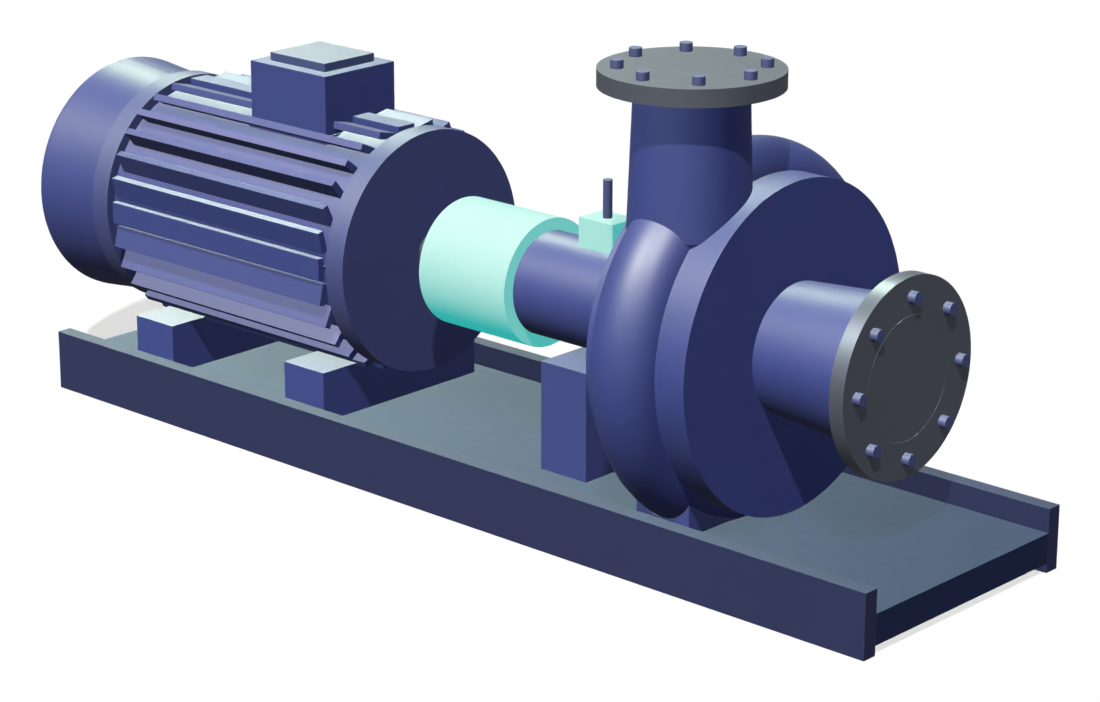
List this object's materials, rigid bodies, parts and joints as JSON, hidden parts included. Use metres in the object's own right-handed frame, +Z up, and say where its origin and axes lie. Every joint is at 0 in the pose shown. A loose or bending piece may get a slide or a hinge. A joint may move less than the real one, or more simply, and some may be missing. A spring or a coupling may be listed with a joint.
{
  "type": "skid-mounted centrifugal pump",
  "caption": "End-suction centrifugal pump and finned electric motor on a low steel skid, coupled under a drum guard, with blanked suction and discharge flanges.",
  "frame": {"origin": "on the floor, under the middle of the set's overall box", "axes": "+X along the shaft from the motor to the suction flange, +Y to the far side of the skid, +Z up along the discharge"},
  "size_m": [1.7048, 0.5604, 0.7202],
  "materials": {
    "skid_paint": "dark blue-grey paint, satin",
    "deck_paint": "slate grey-blue paint, satin",
    "motor_paint": "blue enamel, semi-gloss",
    "shield_paint": "dark blue enamel, semi-gloss",
    "lid_paint": "grey-blue enamel, satin",
    "skid_block_paint": "blue enamel, satin",
    "pump_paint": "blue enamel, semi-gloss",
    "guard_paint": "mint green paint, satin",
    "flange_steel": "dark turned steel",
    "stud_steel": "blue-tinted steel studs",
    "bright_steel": "ground steel",
    "dark_iron": "machined cast iron",
    "black_rubber": "matt black elastomer",
    "fan_plastic": "black moulded plastic"
  },
  "bodies": {
    "root": {"skid_rail_near": "skid_paint", "skid_rail_far": "skid_paint", "deck_tray": "deck_paint", "deck_stiffeners": "deck_paint", "motor_frame": "motor_paint", "motor_foot_fan_end": "skid_block_paint", "motor_foot_drive_end": "skid_block_paint", "drive_end_shield": "shield_paint", "fan_end_shield": "shield_paint", "fan_cowl": "motor_paint", "cowl_grille": "motor_paint", "cooling_fan": "fan_plastic", "terminal_box": "motor_paint", "terminal_box_lid": "lid_paint", "motor_shaft": "bright_steel", "pump_shaft": "bright_steel", "motor_coupling_hub": "dark_iron", "pump_coupling_hub": "dark_iron", "coupling_insert": "black_rubber", "coupling_guard": "guard_paint", "bearing_housing": "pump_paint", "bearing_pedestal": "skid_block_paint", "oiler_block": "guard_paint", "oiler_stem": "pump_paint", "volute_casing": "pump_paint", "casing_back_cover": "pump_paint", "suction_cover": "pump_paint", "casing_feet": "skid_block_paint", "suction_flange": "flange_steel", "suction_blank_plate": "flange_steel", "suction_studs": "stud_steel", "discharge_flange": "flange_steel", "discharge_blank_plate": "flange_steel", "discharge_studs": "stud_steel"}
  },
  "joints": []
}
